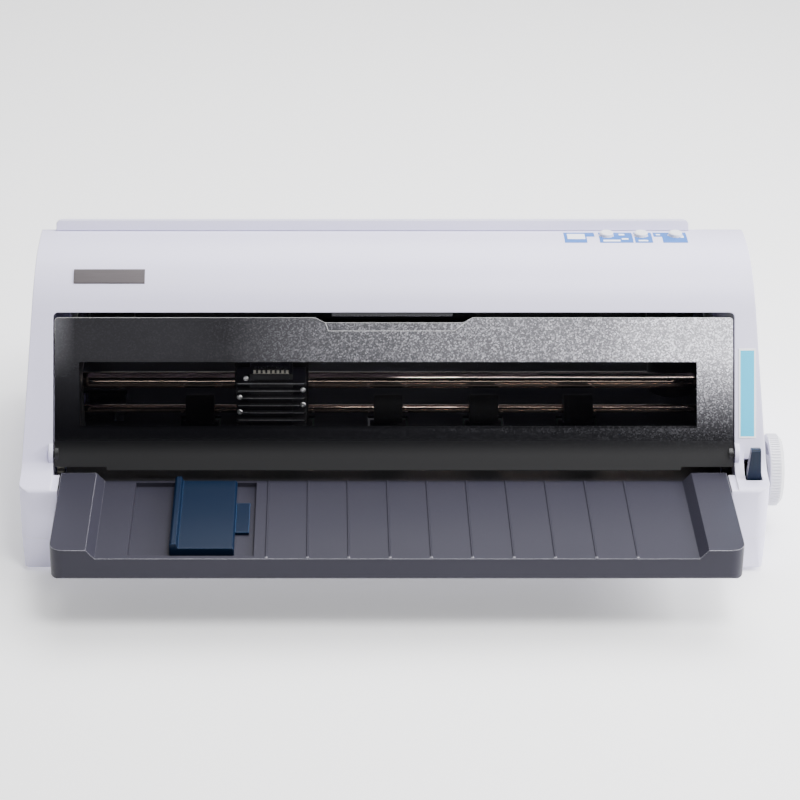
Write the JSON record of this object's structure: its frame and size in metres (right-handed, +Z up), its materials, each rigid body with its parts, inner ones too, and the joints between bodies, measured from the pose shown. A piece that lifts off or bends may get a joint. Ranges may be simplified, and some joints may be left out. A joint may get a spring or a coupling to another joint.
{
  "type": "dot matrix printer",
  "caption": "Flatbed impact printer with a smoked hinged front cover, sheet tray with edge guide, print carriage, feed rollers and platen knob.",
  "frame": {"origin": "middle of the overall box, on the surface the feet stand on", "axes": "+X to the right seen from the front, +Y from the tray to the rear, +Z up"},
  "size_m": [0.4576, 0.305, 0.1724],
  "materials": {
    "case_white": "fine grained white moulding",
    "tray_slate": "fine grained slate grey moulding",
    "foot_rubber": "matt rubber",
    "smoked_cover": "smoked transparent acrylic with a speckled print",
    "guide_blue": "dark blue moulding",
    "panel_film": "blue printed film",
    "plate_grey": "satin grey brown plate",
    "label_cyan": "satin label film",
    "button_white": "white moulding",
    "knob_white": "ribbed light grey moulding",
    "frame_steel": "zinc plated sheet steel",
    "table_black": "black moulding",
    "shaft_steel": "ground steel",
    "head_black": "black anodised casting with cooling fins",
    "ribbon_black": "inked nylon ribbon",
    "belt_rubber": "toothed rubber belt",
    "motor_grey": "dark motor can",
    "roller_rubber": "black rubber sleeves on a steel shaft",
    "gear_nylon": "natural nylon",
    "board_green": "green circuit board"
  },
  "bodies": {
    "root": {"lower_case": "case_white", "upper_case": "case_white", "sheet_tray": "tray_slate", "feet": "foot_rubber", "control_panel": "panel_film", "nameplate": "plate_grey", "side_label": "label_cyan", "lever_bracket": "frame_steel", "left_side_frame": "frame_steel", "right_side_frame": "frame_steel", "frame_pan": "frame_steel", "platen_bar": "foot_rubber", "paper_table": "table_black", "carriage_shaft": "shaft_steel", "belt_rail": "frame_steel", "ribbon_cartridge": "table_black", "print_ribbon": "ribbon_black", "carriage_belt": "belt_rubber", "carriage_motor": "motor_grey", "feed_motor": "motor_grey", "main_board": "board_green", "power_supply": "board_green", "power_inlet": "table_black", "interface_ports": "shaft_steel", "case_screws": "shaft_steel"},
    "front_lid": {"front_cover": "smoked_cover"},
    "rear_lid": {"rear_cover": "case_white"},
    "guide": {"edge_guide": "guide_blue"},
    "pause_key": {"pause_button": "button_white"},
    "feed_key": {"feed_button": "button_white"},
    "load_key": {"load_button": "button_white"},
    "lever": {"release_lever": "guide_blue"},
    "rocker": {"power_switch": "table_black"},
    "head_carriage": {"carriage": "table_black", "print_head": "head_black"},
    "motor_wheel": {"motor_pulley": "shaft_steel"},
    "idler_wheel": {"idler_pulley": "shaft_steel"},
    "platen_roller": {"front_feed_roller": "roller_rubber", "front_feed_gear": "gear_nylon", "feed_knob": "knob_white"},
    "rear_roller": {"rear_feed_roller": "roller_rubber", "rear_feed_gear": "gear_nylon"},
    "idler": {"idler_gear": "gear_nylon"},
    "pinion": {"motor_pinion": "gear_nylon"},
    "front_pinch": {"front_pinch_rollers": "roller_rubber"},
    "rear_pinch": {"rear_pinch_rollers": "roller_rubber"}
  },
  "joints": [
    {"name": "front_cover_hinge", "type": "hinge", "parent": "root", "child": "front_lid", "pos_m": [-0.00675, -0.0545, 0.065], "axis": [1, 0, 0], "range_deg": [0, 95]},
    {"name": "rear_cover_hinge", "type": "hinge", "parent": "root", "child": "rear_lid", "pos_m": [-0.00675, 0.12286, 0.12189], "axis": [-1, 0, 0], "range_deg": [0, 80]},
    {"name": "edge_guide_slide", "type": "slide", "parent": "root", "child": "guide", "axis": [1, 0, 0], "range_m": [-0.022, 0.003]},
    {"name": "pause_press", "type": "slide", "parent": "root", "child": "pause_key", "axis": [0, 0, -1], "range_m": [0, 0.0012], "stiffness_N_per_m": 400},
    {"name": "feed_press", "type": "slide", "parent": "root", "child": "feed_key", "axis": [0, 0, -1], "range_m": [0, 0.0012], "stiffness_N_per_m": 400},
    {"name": "load_press", "type": "slide", "parent": "root", "child": "load_key", "axis": [0, 0, -1], "range_m": [0, 0.0012], "stiffness_N_per_m": 400},
    {"name": "lever_swing", "type": "hinge", "parent": "root", "child": "lever", "pos_m": [-0.00675, -0.0675, 0.04], "axis": [-1, 0, 0], "range_deg": [0, 17]},
    {"name": "power_rock", "type": "hinge", "parent": "root", "child": "rocker", "pos_m": [-0.22275, -0.0435, 0.04], "axis": [0, 0, -1], "range_deg": [0, 10]},
    {"name": "carriage_slide", "type": "slide", "parent": "root", "child": "head_carriage", "axis": [1, 0, 0], "range_m": [-0.0865, 0.2335]},
    {"name": "motor_pulley_turn", "type": "hinge", "parent": "root", "child": "motor_wheel", "pos_m": [0.16925, 0.0385, 0.1], "axis": [0, 0, 1], "continuous": true},
    {"name": "idler_pulley_turn", "type": "hinge", "parent": "root", "child": "idler_wheel", "pos_m": [-0.18275, 0.0385, 0.1], "axis": [0, 0, 1], "continuous": true},
    {"name": "platen_turn", "type": "hinge", "parent": "root", "child": "platen_roller", "pos_m": [-0.00675, -0.0305, 0.041], "axis": [1, 0, 0], "continuous": true},
    {"name": "rear_roller_turn", "type": "hinge", "parent": "root", "child": "rear_roller", "pos_m": [-0.00675, 0.0115, 0.041], "axis": [1, 0, 0], "continuous": true},
    {"name": "idler_turn", "type": "hinge", "parent": "root", "child": "idler", "pos_m": [-0.00675, -0.00774, 0.0381], "axis": [1, 0, 0], "continuous": true},
    {"name": "pinion_turn", "type": "hinge", "parent": "root", "child": "pinion", "pos_m": [-0.00675, 0.02945, 0.03619], "axis": [1, 0, 0], "continuous": true},
    {"name": "front_pinch_turn", "type": "hinge", "parent": "root", "child": "front_pinch", "pos_m": [-0.00675, -0.0305, 0.0585], "axis": [1, 0, 0], "continuous": true},
    {"name": "rear_pinch_turn", "type": "hinge", "parent": "root", "child": "rear_pinch", "pos_m": [-0.00675, 0.0115, 0.0605], "axis": [1, 0, 0], "continuous": true}
  ],
  "couplings": [
    {"joint": "motor_pulley_turn", "follows": "carriage_slide", "rad_per_m": 125},
    {"joint": "idler_pulley_turn", "follows": "carriage_slide", "rad_per_m": 125},
    {"joint": "idler_turn", "follows": "platen_turn", "ratio": -1.6},
    {"joint": "rear_roller_turn", "follows": "platen_turn", "ratio": 1.3333},
    {"joint": "pinion_turn", "follows": "platen_turn", "ratio": -1.7778},
    {"joint": "front_pinch_turn", "follows": "platen_turn", "ratio": -1.4571},
    {"joint": "rear_pinch_turn", "follows": "platen_turn", "ratio": -1.5111}
  ]
}
